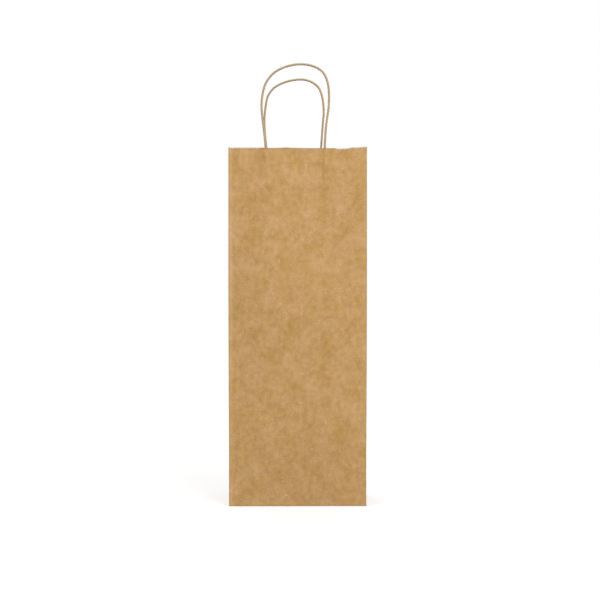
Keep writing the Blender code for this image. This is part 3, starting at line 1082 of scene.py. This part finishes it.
def cord_route(loop, leans, y, side, bulge):
    """The whole cord: up one leg, round the loop and down the other leg.

    The legs follow the panel's bulge, and the loop comes away from it above the mouth."""
    start_z = HEIGHT + LOOP_START
    legs = legs_of(loop, leans)
    feet = [(leg[1], LEG_FOOT_Z) for leg in legs]
    over = [(x, start_z + height) for x, height in loop]
    middles = [((x + over[end][0]) / 2, (z + over[end][1]) / 2) for (x, z), end in zip(feet, (0, -1))]
    way = [feet[0], middles[0], *over, middles[1], feet[1]]
    line = []
    for x, z in way:
        hold = 1 - ease(HEIGHT, HEIGHT + LEG_SETTLE, z)
        line.append((x, y + side * hold * bulge(x, min(z, HEIGHT)), z))
    return smooth_line(line, RING_STEP)


def ply_radius(turn, seed_turn):
    """Radius of a twisted cord round its axis, with a groove between its plies."""
    lobe = np.abs(np.cos(PLIES * turn / 2)) ** 0.9
    crease = 0.018 * np.cos(11 * turn + seed_turn) + 0.012 * np.cos(23 * turn - 2 * seed_turn)
    return CORD_RADIUS * (1 - PLY_DEPTH * (1 - lobe) + crease)


def cord_rings(line, side):
    """The rings of points round the cord's line, their places along and round the cord,
    and how deep each lies in a groove, which sets the shade painted there."""
    steps = np.linalg.norm(np.diff(line, axis=0), axis=1)
    run = np.concatenate([[0], np.cumsum(steps)])
    ahead = np.gradient(line, axis=0)
    ahead /= np.linalg.norm(ahead, axis=1, keepdims=True)
    across = np.array([0.0, 1.0, 0.0])
    beside = np.cross(across, ahead)
    beside /= np.linalg.norm(beside, axis=1, keepdims=True)
    angles = np.linspace(0, 2 * math.pi, RING_POINTS, endpoint=False)
    twist = 2 * math.pi * run / TWIST_PITCH
    long, short, middling = WANDER_LENGTHS
    points, places, groove_shading = [], [], []
    for number, centre in enumerate(line):
        wander = 0.5 * math.sin(run[number] / long) + 0.3 * math.sin(run[number] / short + side)
        turn = angles - twist[number] - 0.25 * wander
        radius = ply_radius(turn, 0.9 * wander + run[number] / middling)
        points.append(centre + radius[:, None] * (
            np.cos(angles)[:, None] * beside[number] + np.sin(angles)[:, None] * across
        ))
        around = (turn % (2 * math.pi)) * CORD_RADIUS
        places.append(np.stack([0 * angles + run[number], around, 0 * angles], axis=-1))
        groove_shading.append(1 - np.abs(np.cos(PLIES * turn / 2)) ** 0.5)
    points.append(line[[0, -1]])
    places.append(np.array([[run[0], 0, 0], [run[-1], 0, 0]]))
    groove_shading.append(np.zeros(2))
    return np.concatenate(points), np.concatenate(places), np.concatenate(groove_shading)


def tube_faces(rings):
    """The faces between the rings, and a fan round the middle point of each end."""
    faces = []
    following = [(i + 1) % RING_POINTS for i in range(RING_POINTS)]
    for ring in range(rings - 1):
        low, high = ring * RING_POINTS, (ring + 1) * RING_POINTS
        for i, j in enumerate(following):
            faces.append([low + i, high + i, high + j, low + j])
    first, last = rings * RING_POINTS, rings * RING_POINTS + 1
    end = (rings - 1) * RING_POINTS
    for i, j in enumerate(following):
        faces.append([first, i, j])
        faces.append([last, end + j, end + i])
    return faces


def make_cord(which, side, loop, leans, y, bulge):
    """One handle: a three-ply twisted paper cord, closed at both ends."""
    line = np.array([tuple(p) for p in cord_route(loop, leans, y, side, bulge)])
    points, places, groove_shading = cord_rings(line, side)
    piece = make_mesh_object(f"{which}_handle_cord", points, tube_faces(len(line)), places, groove_shading)
    finish_piece(
        piece, CORD_KRAFT, "cord_kraft", None, f"{which}_handle_loop",
        f"{which}_handle_left_leg", f"{which}_handle_right_leg",
    )
    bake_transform(piece)


# ---------------------------------------------------------------- stage, light, camera

CAMERA_PLACE = (0.0025, -1.16, 0.2228)
CAMERA_LENS = 62.23
FLOOR_RADIUS = 1.2
FLOOR_DROP = 0.05 * MM
FLOOR_GREY = 0.86
FLOOR_FADE = (0.35, 1.1)
FLOOR_COVER = 0.45
WORLD_LIGHT = 0.48
BACKDROP = 1.0
# Each softbox is its name, place, the point that it faces, its size and its power in watts.
SOFTBOXES = (
    ("key", (0.60, -0.90, 1.25), (0, 0, 0.2), 0.8, 15.5),
    ("side", (1.4, -1.1, 0.7), (0, 0, 0.2), 0.9, 6),
    ("fill", (-1.3, -1.2, 1.1), (0, 0, 0.2), 1.4, 13),
    ("rim", (-0.9, 1.7, 1.3), (0, 0, 0.2), 1.4, 30),
    ("top", (0, 0.1, 2.2), (0, 0, 0), 2.0, 12),
)


def make_floor():
    """A pale floor that fades into the white backdrop, and is clear from below."""
    mesh = bpy.data.meshes.new("floor")
    shape = bmesh.new()
    bmesh.ops.create_circle(shape, cap_ends=True, radius=FLOOR_RADIUS, segments=96)
    bmesh.ops.translate(shape, verts=shape.verts, vec=(0, 0, -FLOOR_DROP))
    shape.to_mesh(mesh)
    shape.free()
    floor = bpy.data.objects.new("floor", mesh)
    bpy.context.scene.collection.objects.link(floor)
    graph = Graph("floor_paint")
    graph.shader.inputs["Base Color"].default_value = (FLOOR_GREY, FLOOR_GREY, FLOOR_GREY, 1)
    graph.shader.inputs["Roughness"].default_value = 0.95
    graph.shader.inputs["Specular IOR Level"].default_value = 0.0
    place = graph.add("ShaderNodeTexCoord").outputs["Object"]
    distance = graph.add("ShaderNodeVectorMath", {0: place}, operation="LENGTH").outputs["Value"]
    cover = graph.ramp(distance, FLOOR_FADE[0], FLOOR_FADE[1], FLOOR_COVER, 0.0)
    from_above = graph.math("SUBTRACT", 1.0, graph.add("ShaderNodeNewGeometry").outputs["Backfacing"])
    graph.feed(graph.shader.inputs["Alpha"], graph.math("MULTIPLY", cover, from_above))
    mesh.materials.append(graph.material)


def make_world():
    """Even white light, and a white backdrop behind the bag."""
    world = bpy.data.worlds.new("studio")
    world.use_nodes = True
    bpy.context.scene.world = world
    tree = world.node_tree
    tree.nodes.clear()
    mix = tree.nodes.new("ShaderNodeMixShader")
    for number, strength in ((1, WORLD_LIGHT), (2, BACKDROP)):
        glow = tree.nodes.new("ShaderNodeBackground")
        glow.inputs["Color"].default_value = (1, 1, 1, 1)
        glow.inputs["Strength"].default_value = strength
        tree.links.new(glow.outputs[0], mix.inputs[number])
    seen = tree.nodes.new("ShaderNodeLightPath")
    tree.links.new(seen.outputs["Is Camera Ray"], mix.inputs[0])
    out = tree.nodes.new("ShaderNodeOutputWorld")
    tree.links.new(mix.outputs[0], out.inputs["Surface"])


def make_lights():
    """Square area lights, each turned to face its target."""
    for name, place, target, size, power in SOFTBOXES:
        data = bpy.data.lights.new(name, "AREA")
        data.shape = "SQUARE"
        data.size = size
        data.energy = power
        lamp = bpy.data.objects.new(name, data)
        lamp.location = place
        lamp.rotation_euler = (Vector(target) - Vector(place)).to_track_quat("-Z", "Y").to_euler()
        bpy.context.scene.collection.objects.link(lamp)


def make_camera():
    """A level camera, a little more than a metre in front of the bag."""
    data = bpy.data.cameras.new("camera")
    data.lens = CAMERA_LENS
    data.sensor_width = 36.0
    data.dof.use_dof = False
    camera = bpy.data.objects.new("camera", data)
    camera.location = CAMERA_PLACE
    camera.rotation_euler = (math.radians(90), 0, 0)
    bpy.context.scene.collection.objects.link(camera)
    bpy.context.scene.camera = camera


make_camera()
make_world()
make_lights()
make_floor()
bpy.context.scene.view_settings.view_transform = "Standard"

make_front()
make_back()
make_side("left", -1)
make_side("right", 1)
make_bottom()
make_seam_lap()
make_patches("front", -1, front_place, FRONT_LEGS, FRONT_PATCH, "front")
make_patches("back", 1, back_place, BACK_LEGS, BACK_PATCH, "back")
make_cord("front", -1, FRONT_LOOP, FRONT_LEG_LEAN, FRONT_LEG_Y, front_bulge)
make_cord("back", 1, BACK_LOOP, BACK_LEG_LEAN, BACK_LEG_Y, back_bulge)
